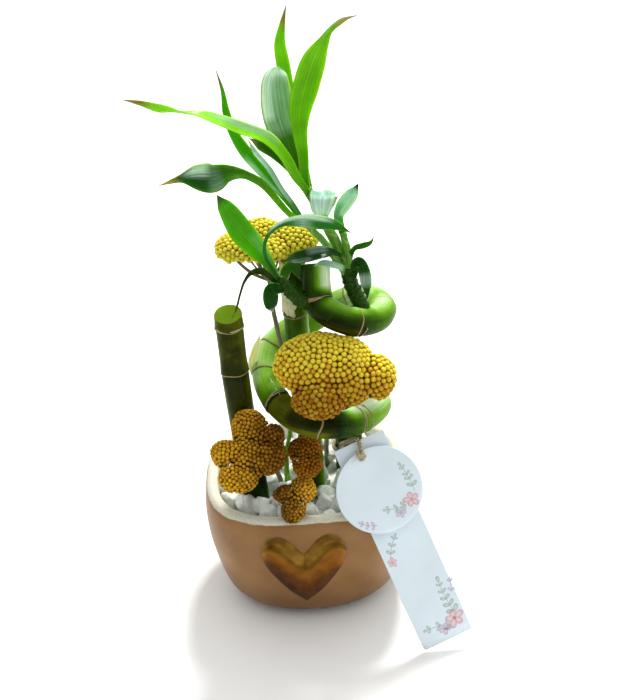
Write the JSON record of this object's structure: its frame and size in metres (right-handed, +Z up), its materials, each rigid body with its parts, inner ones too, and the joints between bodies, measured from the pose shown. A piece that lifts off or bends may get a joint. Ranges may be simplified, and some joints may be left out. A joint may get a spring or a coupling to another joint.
{
  "type": "potted lucky bamboo with dried yarrow",
  "caption": "Lucky bamboo with a spiral cane and leafy shoots, dried yarrow heads and white marble chips, in a rounded square pot with a gilt heart and paper tags.",
  "frame": {"origin": "on the table, under the middle of the pot", "axes": "+Z up, -Y towards the front with the heart, +X to the right seen from the front"},
  "size_m": [0.1796, 0.1466, 0.3712],
  "materials": {
    "cane": "satin",
    "gilding": "satin",
    "leaf": "satin",
    "marble": "matte",
    "glazed_pot": "satin",
    "dry_sheath": "matte",
    "dry_stub": "matte",
    "soil": "matte",
    "stalk": "satin",
    "card": "matte",
    "twine": "matte",
    "yarrow": "matte",
    "dry_stem": "matte"
  },
  "bodies": {
    "root": {"cane_centre": "cane", "cane_left": "cane", "cane_spiral": "cane", "heart": "gilding", "leaf_crown_broad": "leaf", "leaf_crown_left": "leaf", "leaf_crown_pale": "leaf", "leaf_crown_right": "leaf", "leaf_crown_short": "leaf", "leaf_crown_small": "leaf", "leaf_crown_tall": "leaf", "leaf_left_arch": "leaf", "leaf_left_back": "leaf", "leaf_left_big": "leaf", "leaf_left_dry": "leaf", "leaf_left_hanging": "leaf", "leaf_right_dark": "leaf", "leaf_right_folded": "leaf", "leaf_right_pale": "leaf", "leaf_right_small": "leaf", "leaf_side_spoon": "leaf", "leaf_side_strip": "leaf", "leaf_side_upright": "leaf", "leaf_stalk_dark_tip": "leaf", "pebbles": "marble", "pot": "glazed_pot", "sheath_blade": "dry_sheath", "sheath_centre": "dry_sheath", "shoot_base_left": "dry_stub", "shoot_base_right": "dry_stub", "soil": "soil", "stalk_crown": "stalk", "stalk_short": "stalk", "stalk_side": "stalk", "tag_card": "card", "tag_round": "card", "twine": "twine", "yarrow_back": "yarrow", "yarrow_back_stem": "dry_stem", "yarrow_front": "yarrow", "yarrow_front_stem": "dry_stem", "yarrow_left": "yarrow", "yarrow_left_stem": "dry_stem", "yarrow_low": "yarrow", "yarrow_low_stem": "dry_stem", "yarrow_small": "yarrow", "yarrow_small_stem": "dry_stem", "young_stem": "stalk"}
  },
  "joints": []
}
